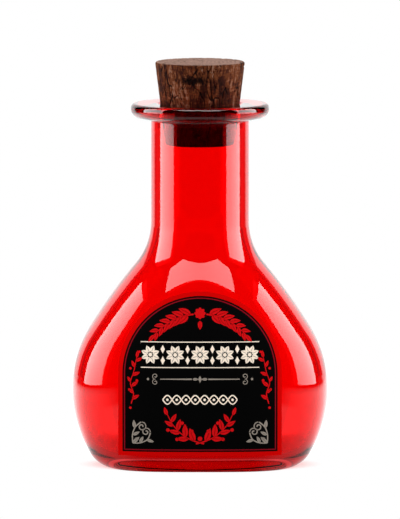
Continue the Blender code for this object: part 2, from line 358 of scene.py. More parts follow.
def lip_points(sizes, neck_top):
    """Side view of the lip, from the top of the neck over its edge into the bore."""
    hollow, rounding = sizes.lip_curve, sizes.mouth_rounding
    underside = neck_top + hollow
    top = underside + sizes.lip_thickness
    rise = math.sin(sizes.lip_turn)
    wide = (sizes.lip_thickness - sizes.lip_edge * (1 - rise)) / (1 + rise)
    rim = sizes.neck_radius + sizes.lip_overhang - wide
    upper_out = rim + (wide - sizes.lip_edge) * math.cos(sizes.lip_turn)
    bore = sizes.neck_radius - sizes.wall
    under = Arc(sizes.neck_radius + hollow, neck_top, -hollow, 0.0, -math.pi / 2)
    lower_edge = Arc(rim, underside + wide, wide, -math.pi / 2, sizes.lip_turn)
    upper_edge = Arc(upper_out, top - sizes.lip_edge, sizes.lip_edge, sizes.lip_turn, math.pi / 2)
    mouth = Arc(bore + rounding, top - rounding, rounding, math.pi / 2, math.pi)
    arcs = (under, lower_edge, upper_edge, mouth)
    under, lower_edge, upper_edge, mouth = (arc_points(*pair) for pair in zip(arcs, LIP_STEPS))
    return under + lower_edge + upper_edge[1:] + mouth


def outer_line(sizes):
    """Side view of the outside, from the middle of the base over the lip to the bore."""
    arcs = side_arcs(sizes)
    edge = arc_point(arcs[0], arcs[0].start)[0]
    inner_edge = edge - sizes.bearing
    points = dome(inner_edge, 0.0, sizes.push_up, PUSH_UP_STEPS)
    points += [(inner_edge, 0.0), ((inner_edge + edge) / 2, 0.0), (edge, 0.0)]
    for arc, steps in zip(arcs, OUTER_STEPS):
        points += arc_points(arc, steps)[1:]
    foot = arcs[-1].centre_up
    for step in range(1, NECK_STEPS):
        points.append((sizes.neck_radius, foot + sizes.neck_length * step / NECK_STEPS))
    return points + lip_points(sizes, foot + sizes.neck_length)


def inner_line(sizes, mouth):
    """Side view of the inside, from the mouth down to the middle of the floor."""
    arcs = side_arcs(sizes)
    heel = heel_arc(sizes, sizes.floor_thickness, sizes.wall, sizes.inner_heel)
    arcs[1] = arcs[1]._replace(start=heel.end)
    foot = arc_point(arcs[-1], arcs[-1].end, sizes.wall)
    drop = foot[1] - mouth[1]
    points = [(mouth[0], mouth[1] + drop * step / NECK_STEPS) for step in range(NECK_STEPS)]
    points.append(foot)
    for arc, steps in zip(arcs[:0:-1], INNER_STEPS[:0:-1]):
        points += arc_points(arc, steps, sizes.wall)[-2::-1]
    points += arc_points(heel, INNER_STEPS[0])[-2::-1]
    return points + dome(points[-1][0], sizes.floor_thickness, sizes.push_up, FLOOR_STEPS)[::-1]


def glass_flask(sizes):
    """Hollow flask: two spun skins, pressed flat and joined at the mouth."""
    arcs = side_arcs(sizes)
    foot = arcs[-1].centre_up
    edge = arc_point(arcs[0], arcs[0].start)[0]
    edge_depth, edge_square = section(sizes, edge, 0.0)[1:]
    inner_edge, inner_depth = edge - sizes.bearing, edge_depth - sizes.bearing

    def press_outside(out, up):
        if out >= edge or up > sizes.belly_height:
            return section(sizes, out, up)[1:]
        if out > inner_edge:
            return edge_depth - (edge - out), edge_square
        return out * inner_depth / inner_edge, edge_square

    heel = heel_arc(sizes, sizes.floor_thickness, sizes.wall, sizes.inner_heel)
    floor_out, floor_depth, floor_square = section(
        sizes, heel.centre_out, sizes.floor_thickness, sizes.wall
    )
    floor_top = sizes.floor_thickness + sizes.push_up + TOUCHING

    def press_inside(out, up):
        if out < floor_out and up < floor_top:
            return out * floor_depth / floor_out, floor_square
        return section(sizes, out, up, sizes.wall)[1:]

    def pressed_skin(name, points, press):
        skin = drawn_line(name, points)
        spin_round(sizes.sides)
        press_sections(skin, lambda out, up: (out, ROUND_SHARE) if up >= foot else press(out, up))
        return skin

    points = outer_line(sizes)
    outside = pressed_skin("glass_flask", points, press_outside)
    inside = pressed_skin("glass_inside", inner_line(sizes, points[-1]), press_inside)
    pick(outside, inside)
    bpy.ops.object.join()
    close_skin(outside)
    return outside


# Cork


# Steps of the cork's side view: its foot, the foot's rim, its side, the top's rim, its top
FOOT_STEPS, FOOT_RIM_STEPS, SIDE_STEPS, CROWN_STEPS, TOP_STEPS = 16, 4, 110, 5, 30

# Two kinds of crack: pitch across and along the grain per millimetre, half width, and
# place in the noise. They bend, and they come and go in patches.
CRACKS = ((0.21, 0.03, 0.05, 3.0), (0.5, 0.12, 0.08, 19.0))
BEND, BEND_PITCH = 1.6, (0.2, 0.2, 0.16)
SHOWING_SHARE, PATCH_SHARE, PATCH_PITCH = 0.5, 1.8, (0.13, 0.13, 0.12)

# Carving of the cork in millimetres: grain and pits of the side; chips, grain and cracks of
# the top; height over which the side's carving ends; radii between which the chips deepen
GRAIN_DEPTH, GRAIN_PITCHES = 0.035, ((1.7, 1.7, 0.3), (0.6, 0.6, 0.9))
PIT_DEPTH, PIT_PITCH, PIT_SHIFT = 0.6, (0.9, 0.9, 0.7), (7.0, 0.0, 0.0)
CHIP_DEPTH, TOP_GRAIN_DEPTH, TOP_CRACK_DEPTH = 0.3, 0.02, 0.2
TOP_FADE = 0.9
CHIPS_START, CHIPS_REACH = 15.2, 2.0


def cork_line(sizes):
    """Side view of the cork, from the middle of its foot to the middle of its top."""
    low, high = CORK_LOW.z, CORK_HIGH.z
    top_radius = CORK_HIGH.x - sizes.skin
    foot_radius = top_radius - sizes.taper * (high - low)
    foot = Arc(foot_radius - sizes.edge, low + sizes.edge, sizes.edge, -math.pi / 2, 0.0)
    crown = Arc(top_radius - sizes.crown, high - sizes.crown, sizes.crown, 0.0, math.pi / 2)
    points = [(foot_radius * step / FOOT_STEPS, low) for step in range(FOOT_STEPS)]
    points += arc_points(foot, FOOT_RIM_STEPS)
    start, end = points[-1], arc_point(crown, crown.start)
    for step in range(1, SIDE_STEPS):
        part = step / SIDE_STEPS
        points.append(tuple(first + (last - first) * part for first, last in zip(start, end)))
    points += arc_points(crown, CROWN_STEPS)
    rim = points[-1][0]
    return points + [(rim * (1 - step / TOP_STEPS), high) for step in range(1, TOP_STEPS + 1)]


def held(value):
    """Value held between 0 and 1."""
    return min(1.0, max(0.0, value))


def ripple(place, pitch, shift=(0.0, 0.0, 0.0)):
    """Smooth noise at a place, with a pitch and a shift along each axis."""
    return noise.noise([value * scale + move for value, scale, move in zip(place, pitch, shift)])


def wood_crack(place):
    """Depth share of the thin cracks that wander down the grain, at a place in millimetres."""
    x, y, up = place
    bend = BEND * ripple(place, BEND_PITCH)
    deep = 0.0
    for pitch, stretch, width, seed in CRACKS:
        value = ripple((x + bend, y - bend, up), (pitch, pitch, stretch), (seed, 0.0, 0.0))
        patch = ripple(place, PATCH_PITCH, (seed, 0.0, -seed))
        reach = width * max(0.0, SHOWING_SHARE + PATCH_SHARE * patch)
        if reach > 0.0:
            deep = max(deep, 1 - min(1.0, abs(value) / reach))
    return deep


def carve_wood(cork, sizes):
    """Press cracks, grain and pits into the cork's skin and keep their depth for its finish."""
    depth = cork.data.attributes.new("crack", "FLOAT", "POINT")
    for vertex in cork.data.vertices:
        place = [value / MM for value in vertex.co]
        out = math.hypot(place[0], place[1])
        if out < TOUCHING / MM:
            continue
        side_share = held((CORK_HIGH.z / MM - place[2]) / TOP_FADE)
        deep = wood_crack(place)
        grain = sum(ripple(place, pitch) for pitch in GRAIN_PITCHES)
        pit = max(0.0, ripple(place, PIT_PITCH, PIT_SHIFT) - 0.35)
        if side_share > 0.05:
            inward = sizes.crack * deep + MM * (GRAIN_DEPTH * (grain + 1.2) + PIT_DEPTH * pit)
            keep = 1 - min(inward * side_share / (out * MM), 0.2)
            vertex.co.x *= keep
            vertex.co.y *= keep
        if side_share < 1.0:
            chip = max(0.0, ripple(place, (0.5, 0.5, 0.0), (0.0, 0.0, 4.0)) - 0.1)
            chip *= CHIP_DEPTH * held((out - CHIPS_START) / CHIPS_REACH)
            fine = TOP_GRAIN_DEPTH * (1 + ripple(place, (1.1, 1.1, 0.0), (0.0, 0.0, 11.0)))
            vertex.co.z -= MM * (chip + (fine + TOP_CRACK_DEPTH * deep) * (1 - side_share))
        depth.data[vertex.index].value = min(1.0, deep + 1.2 * pit)


def wooden_cork(sizes):
    """Tapered cork: a spun skin with cracks pressed into it."""
    cork = drawn_line("cork_bark", cork_line(sizes))
    spin_round(sizes.sides)
    close_skin(cork)
    carve_wood(cork, sizes)
    cork.data.update()
    return cork


# Label

LABEL_COLUMNS, LABEL_ROWS = 56, 64
CREASE = math.radians(35)  # edges of the paper sharper than this stay sharp


def spring_up(sizes):
    """Height where the label's arch springs from its straight sides."""
    return sizes.bottom + sizes.height - sizes.half_width


def press_on_front(obj, lift):
    """Lay a flat piece, drawn in the XZ plane, on the flask's front wall."""
    flask = bpy.context.scene.flask_glass
    for vertex in obj.data.vertices:
        vertex.co = over_front(flask, vertex.co.x, vertex.co.z, lift)
    obj.data.update()


def thicken(obj, thickness):
    """Give a sheet its thickness towards the front."""
    close_skin(obj, 2 * TOUCHING)
    if sum(face.normal.y * face.area for face in obj.data.polygons) > 0:
        obj.data.flip_normals()
    wall = obj.modifiers.new("paper", "SOLIDIFY")
    wall.thickness = thickness
    wall.offset = 1.0
    bpy.ops.object.modifier_apply(modifier="paper")
    bpy.ops.object.shade_smooth_by_angle(angle=CREASE)


def flat_grid(name, columns, rows, place):
    """Grid whose points are moved to place(across, along), both from 0 to 1."""
    object_mode()
    bpy.ops.mesh.primitive_grid_add(x_subdivisions=columns, y_subdivisions=rows, size=1.0, calc_uvs=True)
    grid = bpy.context.object
    grid.name = name
    for vertex in grid.data.vertices:
        x, up = place(vertex.co.x + 0.5, vertex.co.y + 0.5)
        vertex.co = (x, 0.0, up)
    return grid


def label_sheet(sizes):
    """Arched sheet of paper on the flask's front, its flat plan kept as a UV map."""
    spring = spring_up(sizes)

    def place(across, along):
        if along <= 0.5:
            half_width = sizes.half_width
            up = sizes.bottom + (spring - sizes.bottom) * along * 2
        else:
            angle = (along * 2 - 1) * math.pi / 2
            half_width = sizes.half_width * math.cos(angle)
            up = spring + sizes.half_width * math.sin(angle)
        return half_width * (2 * across - 1), up

    sheet = flat_grid("label_sheet", LABEL_COLUMNS, LABEL_ROWS, place)
    plan = sheet.data.uv_layers[0]
    for loop in sheet.data.loops:
        flat = sheet.data.vertices[loop.vertex_index].co
        plan.data[loop.index].uv = (flat.x / MM, flat.z / MM)
    press_on_front(sheet, sizes.gap)
    thicken(sheet, sizes.thickness)
    return sheet


# Ornament, drawn in millimetres on the label's flat plan

# Faces along and across each shape; a vine has its steps for each span between its points
LEAF_GRID, BERRY_GRID, LOZENGE_GRID = (9, 4), (16, 3), (8, 2)
VINE_STEPS, LOBE_STEPS = 10, 8


def polar(centre, reach, degrees):
    """Point at a reach from a centre, in a direction in degrees from +X."""
    angle = math.radians(degrees)
    return Vector((centre[0] + reach * math.cos(angle), centre[1] + reach * math.sin(angle)))


def stroke(steps, rows, place, veined=False):
    """Flat inked shape; the UV map's height marks the middle vein of a leaf."""
    shape = flat_grid("stroke", steps, rows, lambda along, side: place(along, 2 * side - 1))
    if not veined:
        for loop in shape.data.uv_layers[0].data:
            loop.uv.y = 0.0
    return shape


def leaf(base, direction, size, width, bend=0.0):
    """Pointed leaf from its base; direction in degrees from +X, bend as a share of its size."""
    ahead = polar((0.0, 0.0), 1.0, direction)
    aside = Vector((-ahead.y, ahead.x))

    def place(along, side):
        middle = Vector(base) + ahead * size * along + aside * bend * size * along**2
        half = width / 2 * math.sin(math.pi * along**0.8) ** 0.85 if 0 < along < 1 else 0.0
        return (middle + aside * half * side) * MM

    return stroke(*LEAF_GRID, place, veined=True)


def vine(points, width, end_width):
    """Tapering line through points, smoothed as a curve."""
    spots = [Vector(point) for point in points]

    def spot(along):
        reach = along * (len(spots) - 1)
        index = min(int(reach), len(spots) - 2)
        part = reach - index
        before = spots[max(index - 1, 0)]
        start, end = spots[index], spots[index + 1]
        after = spots[min(index + 2, len(spots) - 1)]
        return 0.5 * (
            2 * start
            + (end - before) * part
            + (2 * before - 5 * start + 4 * end - after) * part**2
            + (3 * start - before - 3 * end + after) * part**3
        )

    def place(along, side):
        step = 0.01
        ahead = spot(min(along + step, 1.0)) - spot(max(along - step, 0.0))
        aside = Vector((-ahead.y, ahead.x)).normalized()
        half = (width + (end_width - width) * along) / 2
        return (spot(along) + aside * half * side) * MM

    return stroke(VINE_STEPS * (len(spots) - 1), 1, place)


def curl(centre, radius, start, turns, width):
    """Spiral scroll that winds in towards its centre from a start in degrees."""
    steps = max(6, int(abs(turns) * 10))
    parts = [step / steps for step in range(steps + 1)]
    spots = [polar(centre, radius * (1 - 0.82 * part), start + 360 * turns * part) for part in parts]
    return vine(spots, width * 0.7, width)


def bead(centre, radius, lobes=0):
    """Round berry, or a rosette when it has lobes."""

    def place(along, side):
        reach = radius * (1 + side) / 2
        if lobes:
            reach *= 0.78 + 0.22 * abs(math.cos(lobes * math.pi * along))
        return polar(centre, reach, 360 * along) * MM

    return stroke(LOBE_STEPS * lobes or BERRY_GRID[0], BERRY_GRID[1], place)


def lozenge(centre, half_width, half_height):
    """Upright diamond."""

    def place(along, side):
        half = half_width * (1 - abs(2 * along - 1))
        return Vector((centre[0] + half * side, centre[1] + half_height * (2 * along - 1))) * MM

    return stroke(*LOZENGE_GRID, place)


def on_side(sign, places):
    """Places of the right half, mirrored to the left for a sign of -1."""
    return [(sign * across, up) for across, up in places]


def turned(sign, degrees):
    """Direction on the right half, mirrored to the left for a sign of -1."""
    return degrees if sign > 0 else 180 - degrees


def leaves(sign, rows, bend=0.0):
    """Leaves of one half, from rows of across, up, direction and size."""
    return [
        leaf((sign * across, up), turned(sign, direction), size, size * 0.42, sign * bend)
        for across, up, direction, size in rows
    ]


def beads(sign, places, radius):
    """Berries of one half."""
    return [bead(place, radius) for place in on_side(sign, places)]


def mirrored(make):
    """The shapes that make(sign) draws on the right, and again on the left."""
    return make(1) + make(-1)


# Places of the ornament and pitch of its repeats: spray, rosette band, divider, plait
SPRAY_CENTRE, SPRAY_RADIUS = (0.0, 38.8), 23.4
BAND_UP, BAND_PITCH = 46.6, 9.6
DIVIDER_UP = 37.2
PLAIT_UP, PLAIT_PITCH = 29.2, 3.6


def red_spray(sign):
    """Laurel spray that follows the arch from its crown down one side."""

    def spot(down):
        return polar(SPRAY_CENTRE, SPRAY_RADIUS, 90 - sign * down)

    shapes = [vine([spot(6 + 5.4 * step) for step in range(9)], 0.6, 0.34)]
    for step in range(6):
        down = 9 + 6.8 * step
        ahead = 90 - sign * (down + 90)
        size = 5.1 - 0.3 * step
        shapes.append(leaf(spot(down), ahead + sign * 46, size, size * 0.42, sign * -0.2))
        shapes.append(leaf(spot(down + 2.6), ahead - sign * 46, size * 0.94, size * 0.4, sign * 0.2))
    return shapes + [leaf(spot(49), 90 - sign * 139, 3.6, 1.5)]


def red_sprig(sign):
    """Leafy sprig with berries that rises from the foot of the label."""
    stem = on_side(sign, ((-1.6, 11.9), (2.2, 13.0), (6.4, 15.2), (10.2, 19.0), (12.6, 23.4)))
    rows = (
        (2.0, 12.9, 62, 5.6), (4.4, 14.0, -8, 4.8), (5.4, 14.6, 78, 5.2), (7.6, 16.2, 6, 4.5),
        (8.6, 17.2, 96, 4.6), (10.2, 19.0, 22, 4.0), (11.0, 20.4, 112, 3.8), (12.6, 23.2, 62, 3.4),
    )
    shapes = [vine(stem, 0.6, 0.3)] + leaves(sign, rows, bend=0.12)
    return shapes + beads(sign, ((3.2, 16.9), (6.9, 20.1), (8.9, 13.7), (12.4, 17.4)), 0.68)


def red_side(sign):
    """Short vine with berries along the label's edge."""
    stem = on_side(sign, ((26.6, 27.5), (25.7, 31.5), (26.9, 35.5), (25.6, 40.0), (24.4, 45.6)))
    rows = (
        (26.2, 29.3, 148, 3.2), (25.7, 31.6, 42, 2.7), (26.5, 34.2, 140, 3.3), (26.8, 36.0, 60, 2.4),
        (26.2, 38.6, 158, 3.2), (25.2, 41.6, 66, 2.9), (24.7, 44.0, 150, 2.9), (24.4, 45.4, 98, 2.8),
    )
    berries = ((27.3, 33.0), (24.4, 36.6), (26.9, 41.2), (23.4, 47.6), (26.9, 25.9))
    return [vine(stem, 0.42, 0.26)] + leaves(sign, rows) + beads(sign, berries, 0.5)


def red_shapes():
    """Red ornament of the whole label."""
    shapes = mirrored(red_spray) + mirrored(red_sprig) + mirrored(red_side)
    shapes.append(bead((0.0, 62.4), 2.2, lobes=8))
    shapes.append(leaf((0.0, 59.6), -90, 3.4, 1.7))
    shapes.append(bead((0.0, 13.9), 0.9))
    return shapes


def cream_shapes():
    """Cream band of rosettes and lozenges, and a plaited line under it."""
    shapes = []
    for index in range(-2, 3):
        middle = (BAND_PITCH * index, BAND_UP)
        for petal in range(8):
            outwards = 45 * petal + 22.5
            shapes.append(leaf(polar(middle, 0.95, outwards), outwards, 2.75, 1.75))
        shapes.append(bead(middle, 0.72))
    for index in range(-2, 2):
        for away in (2.15, -2.15):
            shapes.append(lozenge((BAND_PITCH * (index + 0.5), BAND_UP + away), 0.85, 1.65))
    for up in (BAND_UP + 4.9, BAND_UP - 4.9):
        shapes.append(vine([(-22.9, up), (0.0, up), (22.9, up)], 0.34, 0.34))
    for sign in (1, -1):
        wave = [
            (0.8 * step - 4 * PLAIT_PITCH, PLAIT_UP + sign * 1.7 * math.sin(math.pi * step / 4.5))
            for step in range(37)
        ]
        shapes.append(vine(wave, 0.46, 0.46))
    for index in range(-3, 5):
        shapes.append(bead((PLAIT_PITCH * (index - 0.5), PLAIT_UP), 0.5))
    return shapes


def beige_divider(sign):
    """Half of the divider: a thin line that ends in two curls."""
    line = on_side(sign, [(across, DIVIDER_UP) for across in (3.2, 9.0, 15.4)])
    shapes = [vine(line, 0.55, 0.3)]
    for away in (1, -1):
        centre = (sign * 17.3, DIVIDER_UP + away * 1.15)
        shapes.append(curl(centre, 1.25, away * -90, sign * away * 1.15, 0.34))
    shapes.append(leaf((sign * 2.9, DIVIDER_UP), turned(sign, 180), 2.3, 1.0))
    shapes.append(bead((sign * 20.1, DIVIDER_UP), 0.45))
    return shapes


def beige_corner(sign):
    """Scrolls and leaves that fill a lower corner."""
    level_stem = on_side(sign, ((26.0, 12.0), (22.9, 12.2), (20.3, 13.6), (19.2, 16.2)))
    upright_stem = on_side(sign, ((26.0, 12.0), (26.1, 15.4), (25.0, 18.4), (22.8, 20.4)))
    shapes = [
        vine(level_stem, 0.4, 0.5),
        vine(upright_stem, 0.4, 0.5),
        curl((sign * 20.9, 16.5), 1.75, turned(sign, 180), sign * -1.3, 0.5),
        curl((sign * 22.5, 18.6), 1.85, 90, sign * 1.3, 0.5),
        bead((sign * 24.6, 13.6), 0.65),
    ]
    rows = (
        (23.3, 12.2, 118, 2.9), (25.9, 15.2, 152, 2.9), (25.3, 18.0, 84, 3.2), (20.6, 13.4, 196, 2.9),
        (25.9, 12.1, 135, 3.4),
    )
    return shapes + leaves(sign, rows)


def beige_shapes():
    """Beige divider and corner scrolls."""
    shapes = mirrored(beige_divider) + mirrored(beige_corner)
    return shapes + [lozenge((0.0, DIVIDER_UP), 0.7, 1.35)]


def inked_piece(name, shapes, lift, sizes):
    """Shapes of one ink, joined and laid on the label."""
    pick(*shapes)
    bpy.ops.object.join()
    piece = shapes[0]
    piece.name = name
    press_on_front(piece, lift)
    thicken(piece, sizes.ink)
    return piece


# Materials


def new_material(name):
    """Material with a bare node tree, the tree and its surface shader."""
    material = bpy.data.materials.new(name)
    material.use_nodes = True
    tree = material.node_tree
    return material, tree, tree.nodes["Principled BSDF"]


def feed(tree, target, inputs):
    """Set a node's inputs, by name or number, to plain values or to other nodes' outputs."""
    for key, value in inputs.items():
        if isinstance(value, bpy.types.NodeSocket):
            tree.links.new(value, target.inputs[key])
        else:
            target.inputs[key].default_value = value


def node(tree, kind, inputs=None, **settings):
    """New node with its settings and inputs."""
    made = tree.nodes.new(kind)
    for key, value in settings.items():
        setattr(made, key, value)
    feed(tree, made, inputs or {})
    return made


def value_ramp(tree, value, low, high, to_low=0.0, to_high=1.0):
    """Value mapped in a straight line between two ends, and held past them."""
    ends = {"Value": value, "From Min": low, "From Max": high, "To Min": to_low, "To Max": to_high}
    return node(tree, "ShaderNodeMapRange", ends).outputs[0]


def combine(tree, operation, *values):
    """Sum, product or other math of values."""
    return node(tree, "ShaderNodeMath", dict(enumerate(values)), operation=operation).outputs[0]


def combine_vectors(tree, operation, *values):
    """Math of vectors; a length comes out as a plain value."""
    made = node(tree, "ShaderNodeVectorMath", dict(enumerate(values)), operation=operation)
    return made.outputs["Value" if operation == "LENGTH" else "Vector"]


def axes_of(tree, vector):
    """The three values of a vector."""
    return tuple(node(tree, "ShaderNodeSeparateXYZ", {0: vector}).outputs)


def object_place(tree):
    """Place on the piece, in metres."""
    return node(tree, "ShaderNodeTexCoord").outputs["Object"]


def oval_reach(tree, place, half_sizes):
    """Distance from the middle, in shares of an oval's half sizes."""
    return combine_vectors(tree, "LENGTH", combine_vectors(tree, "DIVIDE", place, half_sizes))


def curve_of(tree, value, stops, scale):
    """Value read from a curve through stops, then scaled."""
    chart = node(tree, "ShaderNodeFloatCurve", {"Value": value})
    curve = chart.mapping.curves[0]
    curve.points[0].location, curve.points[1].location = stops[0], stops[-1]
    for stop in stops[1:-1]:
        curve.points.new(*stop)
    chart.mapping.update()
    return combine(tree, "MULTIPLY", chart.outputs[0], scale)


def mottle(tree, vector, stretch, scale, detail=3.0, roughness=0.5, output="Fac"):
    """Noise read along stretched axes."""
    axes = node(tree, "ShaderNodeMapping", {"Vector": vector, "Scale": stretch}).outputs[0]
    grain = {"Vector": axes, "Scale": scale, "Detail": detail, "Roughness": roughness}
    return node(tree, "ShaderNodeTexNoise", grain).outputs[output]


def relief(tree, height, strength, distance):
    """Bump from a height."""
    inputs = {"Strength": strength, "Distance": distance, "Height": height}
    return node(tree, "ShaderNodeBump", inputs).outputs[0]


def colour_ramp(tree, value, stops):
    """Colour read from a value through stops of position and colour."""
    chart = node(tree, "ShaderNodeValToRGB", {"Fac": value})
    ramp = chart.color_ramp
    ramp.elements[0].position, ramp.elements[1].position = stops[0][0], stops[-1][0]
    for position, rgb in stops[1:-1]:
        ramp.elements.new(position)
    for element, (position, rgb) in zip(ramp.elements, stops):
        element.color = (*rgb, 1.0)
    return chart.outputs[0]


def mix(tree, factor, first, second, kind="RGBA"):
    """First value or colour, turned into the second by the factor."""
    ends = [end if isinstance(end, bpy.types.NodeSocket) else (*end, 1.0) for end in (first, second)]
    inputs = {"Factor": factor, "A": ends[0], "B": ends[1]}
    return node(tree, "ShaderNodeMix", inputs, data_type=kind).outputs["Result"]


# Colour that thick glass turns to, and how fast
DEEP_TINT = (0.70, 0.0, 0.0, 1.0)
DEEPENING = 60.0


def red_glass(sizes):
    """Deep red clear glass that darkens a little with its thickness."""
    material, tree, shader = new_material("red_glass")
    clear = {"Roughness": 0.0, "IOR": 1.5, "Transmission Weight": 1.0}
    feed(tree, shader, {"Base Color": (*sizes.tint, 1.0), **clear})
    depth = node(tree, "ShaderNodeVolumeAbsorption", {"Color": DEEP_TINT, "Density": DEEPENING})
    feed(tree, tree.nodes["Material Output"], {"Volume": depth.outputs["Volume"]})
    return material


# Knots of the cork: turn from the front in degrees, height under the cork's top in metres
KNOTS = ((-9.0, 0.0062), (118.0, 0.011), (221.0, 0.006))
KNOT_HALF_SIZES = (0.0036, 0.0036, 0.0011)
KNOT_OUT_SHARE = 0.96  # of the cork's largest radius

SWAY = (0.005, 0.005, 0.0)  # how far the grain wanders sideways
TONE_SHARES = (0.5, 0.5, 0.45, 0.15)  # of streaks, flecks, patches and rays
RING_TURNS = 4200.0  # radians per metre of radius, for the rings of the end grain

# Heights over the foot for the painted shade on the cork's part inside the neck: it begins under the
# first, and is full under the second
NECK_SHADE_FROM, NECK_SHADE_TO = 0.0185, 0.0125


def knot_mask(tree, place, waver):
    """Mask of the dark knots, each a level oval with ragged edges."""
    out = CORK_HIGH.x * KNOT_OUT_SHARE
    masks = []
    for degrees, depth in KNOTS:
        angle = math.radians(degrees)
        spot = (out * math.sin(angle), -out * math.cos(angle), CORK_HIGH.z - depth)
        off = combine_vectors(tree, "SUBTRACT", place, spot)
        masks.append(combine(tree, "ADD", oval_reach(tree, off, KNOT_HALF_SIZES), waver))
    nearest = masks[0]
    for mask in masks[1:]:
        nearest = combine(tree, "MINIMUM", nearest, mask)
    return value_ramp(tree, nearest, 0.7, 2.0, 0.95, 0.0)


def wood_finish(sizes):
    """Dark cork: wandering grain, amber and grey patches, flecks, black cracks, a paler top."""
    material, tree, shader = new_material("dark_cork")
    place = object_place(tree)
    wander = mottle(tree, place, (1.0, 1.0, 0.7), 85.0, output="Color")
    grained = combine_vectors(tree, "MULTIPLY_ADD", wander, SWAY, place)

    streaks = mottle(tree, grained, (1.0, 1.0, 0.10), 620.0, 5.0, 0.65)
    flecks = mottle(tree, grained, (1.0, 1.0, 0.42), 900.0, 4.0, 0.7)
    rays = mottle(tree, grained, (0.35, 0.35, 1.6), 900.0, 2.0)
    patches = mottle(tree, place, (1.0, 1.0, 0.6), 120.0)
    tone = 0.0
    for layer, layer_share in zip((streaks, flecks, patches, rays), TONE_SHARES):
        tone = combine(tree, "MULTIPLY_ADD", layer, layer_share, tone)
    tones = ((0.0, sizes.dark), (0.36, sizes.brown), (0.66, sizes.amber), (1.0, sizes.pale))
    grain = colour_ramp(tree, value_ramp(tree, tone, 0.62, 0.98), tones)
    waver = value_ramp(tree, flecks, 0.3, 0.7, -0.9, 0.9)
    grain = mix(tree, knot_mask(tree, place, waver), grain, sizes.dark)

    # Black lines along the borders of stretched patches, where the coarse patches are strong
    crevice = value_ramp(tree, mottle(tree, grained, (1.0, 1.0, 0.16), 430.0, 2.0), 0.49, 0.515)
    ridge = combine(tree, "ABSOLUTE", combine(tree, "SUBTRACT", crevice, 0.5))
    line = value_ramp(tree, ridge, 0.2, 0.5, 1.0, 0.0)
    where = value_ramp(tree, patches, 0.45, 0.6)
    grain = mix(tree, combine(tree, "MULTIPLY", line, where), grain, sizes.dark)

    # End grain on the top: flecks and faint rings
    reach = combine_vectors(tree, "LENGTH", combine_vectors(tree, "MULTIPLY", grained, (1.0, 1.0, 0.0)))
    rings = combine(tree, "SINE", combine(tree, "MULTIPLY", reach, RING_TURNS))
    end_tone = combine(tree, "MULTIPLY_ADD", rings, 0.10, flecks)
    low_top = tuple(value * 0.5 for value in sizes.top)
    end_grain = colour_ramp(tree, end_tone, ((0.3, low_top), (0.62, sizes.top)))
    upright = axes_of(tree, node(tree, "ShaderNodeNewGeometry").outputs["Normal"])[2]
    skin = mix(tree, value_ramp(tree, upright, 0.6, 0.92), grain, end_grain)

    crack = node(tree, "ShaderNodeAttribute", attribute_name="crack").outputs["Fac"]
    skin = mix(tree, value_ramp(tree, crack, 0.15, 0.7, 0.0, 0.95), skin, sizes.dark)
    # Painted shade: the cork turns dark towards its foot, where it sits inside the neck
    neck_shade_full, neck_shade_start = CORK_LOW.z + NECK_SHADE_TO, CORK_LOW.z + NECK_SHADE_FROM
    neck_shade = value_ramp(tree, axes_of(tree, place)[2], neck_shade_full, neck_shade_start, 0.85, 0.0)

    height = mottle(tree, grained, (1.0, 1.0, 0.25), 1800.0)
    for layer in (flecks, streaks):
        height = combine(tree, "ADD", height, layer)
    feed(tree, shader, {
        "Base Color": mix(tree, neck_shade, skin, sizes.dark),
        "Normal": relief(tree, height, 0.7, 0.00016),
        "Roughness": value_ramp(tree, flecks, 0.3, 0.7, 0.7, 0.9),
        "Specular IOR Level": 0.06,
    })
    return material


def paper_fibres(tree):
    """Fine fibres of matt paper."""
    fibres = {"Vector": object_place(tree), "Scale": 2600.0, "Detail": 3.0}
    return node(tree, "ShaderNodeTexNoise", fibres).outputs["Fac"]


def matt_print(tree, shader, fibres, rgb, roughness, gloss):
    """Give a printed surface its colour, its low gloss and the bump of its fibres."""
    bump = relief(tree, fibres, 0.35, 0.00003)
    feed(tree, shader, {
        "Base Color": rgb, "Normal": bump, "Roughness": roughness, "Specular IOR Level": gloss
    })


def plan_axes(tree):
    """Values of the piece's UV map."""
    return axes_of(tree, node(tree, "ShaderNodeUVMap", uv_map="UVMap").outputs[0])


def printed_paper(sizes):
    """Red paper with a black arched field and a fine red line inside its edge."""
    material, tree, shader = new_material("printed_paper")
    fibres = paper_fibres(tree)
    across, up = plan_axes(tree)[:2]
    above = combine(tree, "MAXIMUM", combine(tree, "SUBTRACT", up, spring_up(sizes) / MM), 0.0)
    spoke = node(tree, "ShaderNodeCombineXYZ", {"X": across, "Y": above}).outputs[0]
    spoke = combine_vectors(tree, "LENGTH", spoke)
    from_side = combine(tree, "SUBTRACT", sizes.half_width / MM, spoke)
    from_foot = combine(tree, "SUBTRACT", up, sizes.bottom / MM)
    inwards = combine(tree, "MINIMUM", from_side, from_foot)
    inwards = combine(tree, "MULTIPLY_ADD", fibres, 0.06, inwards)

    def past(edge, softness=0.05):
        return value_ramp(tree, inwards, edge - softness, edge + softness)

    margin = sizes.margin / MM
    line = margin + sizes.line_inset / MM
    half_line = sizes.line_width / MM / 2
    field = mix(tree, past(margin), sizes.paper, sizes.field)
    strip = combine(tree, "SUBTRACT", past(line - half_line), past(line + half_line))
    matt_print(tree, shader, fibres, mix(tree, strip, field, sizes.line), 0.62, 0.012)
    return material


def printed_ink(name, rgb):
    """Matt ink, with a darker line where the UV map marks the vein of a leaf."""
    material, tree, shader = new_material(name)
    fibres = paper_fibres(tree)
    off_vein = combine(tree, "ABSOLUTE", combine(tree, "SUBTRACT", plan_axes(tree)[1], 0.5))
    vein = value_ramp(tree, off_vein, 0.05, 0.12, 0.45, 1.0)
    worn = value_ramp(tree, fibres, 0.3, 0.6, 0.86, 1.0)
    level = combine(tree, "MULTIPLY", vein, worn)
    dark_ink = [value * 0.1 for value in rgb]
    matt_print(tree, shader, fibres, mix(tree, level, dark_ink, rgb), 0.6, 0.02)
    return material


